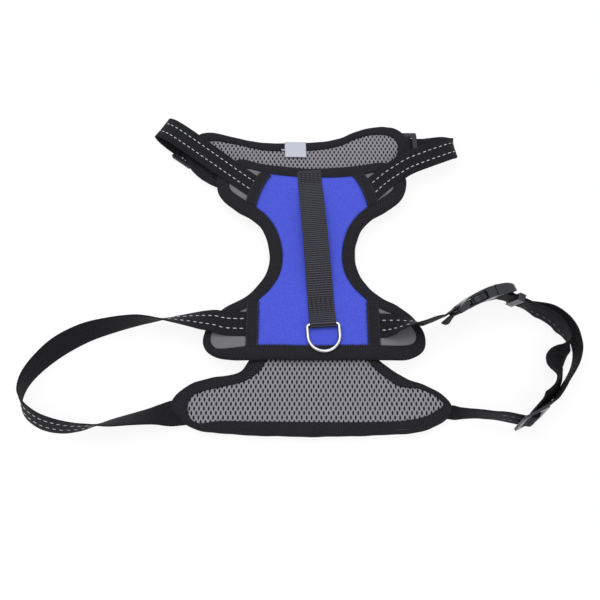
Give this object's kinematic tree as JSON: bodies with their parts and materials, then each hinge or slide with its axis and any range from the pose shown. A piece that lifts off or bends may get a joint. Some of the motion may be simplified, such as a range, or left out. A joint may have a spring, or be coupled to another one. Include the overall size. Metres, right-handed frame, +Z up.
{
  "type": "pet harness",
  "caption": "Vest-style pet harness laid flat: padded chest plate and back panel, webbing straps, lift handle, lead ring, sliders and a side-release buckle.",
  "frame": {"origin": "on the floor under the middle of the back panel, on the underside of the chest plate", "axes": "X to the right across the panels, Y towards the neck end, Z up off the floor"},
  "size_m": [0.5184, 0.3498, 0.0447],
  "materials": {
    "blue_cloth": "smooth napped face of padded cloth",
    "grey_mesh": "open air mesh with staggered holes",
    "grey_cloth": "plain grey cloth",
    "foam": "soft padding",
    "black_tape": "twill binding tape",
    "white_satin": "bare satin tab",
    "bright_ring": "bright plated wire",
    "black_webbing": "ribbed webbing with reflective stitching",
    "dark_plastic": "moulded, fine satin"
  },
  "bodies": {
    "harness": {"chest_shell": "blue_cloth", "chest_foam": "foam", "chest_mesh": "grey_mesh", "chest_binding": "black_tape", "care_label": "white_satin", "back_lining": "grey_mesh", "back_foam": "foam", "back_cover": "blue_cloth", "back_binding": "black_tape", "lobe_front_left": "grey_cloth", "lobe_front_right": "grey_cloth", "lobe_rear_left": "grey_cloth", "lobe_rear_right": "grey_cloth", "facing_front_left": "black_tape", "facing_front_right": "black_tape", "facing_rear_left": "black_tape", "facing_rear_right": "black_tape", "handle_webbing": "black_webbing", "neck_strap_left": "black_webbing", "neck_strap_right": "black_webbing", "belly_strap_left": "black_webbing", "buckle_strap": "black_webbing", "buckle_socket": "dark_plastic", "adjuster_strap": "black_webbing"},
    "lead_ring": {"lead_ring": "bright_ring"},
    "buckle_plug": {"buckle_plug": "dark_plastic"},
    "release_arm_upper": {"release_arm_upper": "dark_plastic"},
    "release_arm_lower": {"release_arm_lower": "dark_plastic"},
    "strap_keeper": {"strap_keeper": "dark_plastic"},
    "belly_slider": {"belly_slider": "dark_plastic"},
    "neck_slider_left": {"neck_slider_left": "dark_plastic"},
    "neck_slider_right": {"neck_slider_right": "dark_plastic"}
  },
  "joints": [
    {"name": "lead_ring_swing", "type": "hinge", "parent": "harness", "child": "lead_ring", "pos_m": [0.0095, -0.077, 0.0202], "axis": [-0.9976, -0.0698, 0], "range_deg": [0, 150]},
    {"name": "plug_release", "type": "slide", "parent": "harness", "child": "buckle_plug", "axis": [0.9063, 0.4226, 0], "range_m": [0, 0.028], "deforming": ["adjuster_strap", "release_arm_upper", "release_arm_lower"]},
    {"name": "upper_arm_press", "type": "hinge", "parent": "buckle_plug", "child": "release_arm_upper", "pos_m": [0.1732, -0.04657, 0.02837], "axis": [0.4062, -0.8712, -0.2756], "range_deg": [0, 9], "stiffness_Nm_per_rad": 0.05},
    {"name": "lower_arm_press", "type": "hinge", "parent": "buckle_plug", "child": "release_arm_lower", "pos_m": [0.17101, -0.04188, 0.0103], "axis": [-0.4062, 0.8712, 0.2756], "range_deg": [0, 9], "stiffness_Nm_per_rad": 0.05},
    {"name": "keeper_slide", "type": "slide", "parent": "buckle_plug", "child": "strap_keeper", "axis": [0.9218, -0.3331, -0.1983], "range_m": [0, 0.005]},
    {"name": "belly_adjust", "type": "slide", "parent": "harness", "child": "belly_slider", "axis": [0.8988, 0.4384, 0], "range_m": [0, 0.012], "deforming": ["adjuster_strap"]},
    {"name": "neck_adjust_left", "type": "slide", "parent": "harness", "child": "neck_slider_left", "axis": [-0.788, 0.6157, 0], "range_m": [0, 0.01], "deforming": ["neck_strap_left"]},
    {"name": "neck_adjust_right", "type": "slide", "parent": "harness", "child": "neck_slider_right", "axis": [1, 0, 0], "range_m": [0, 0.01], "deforming": ["neck_strap_right"]}
  ]
}
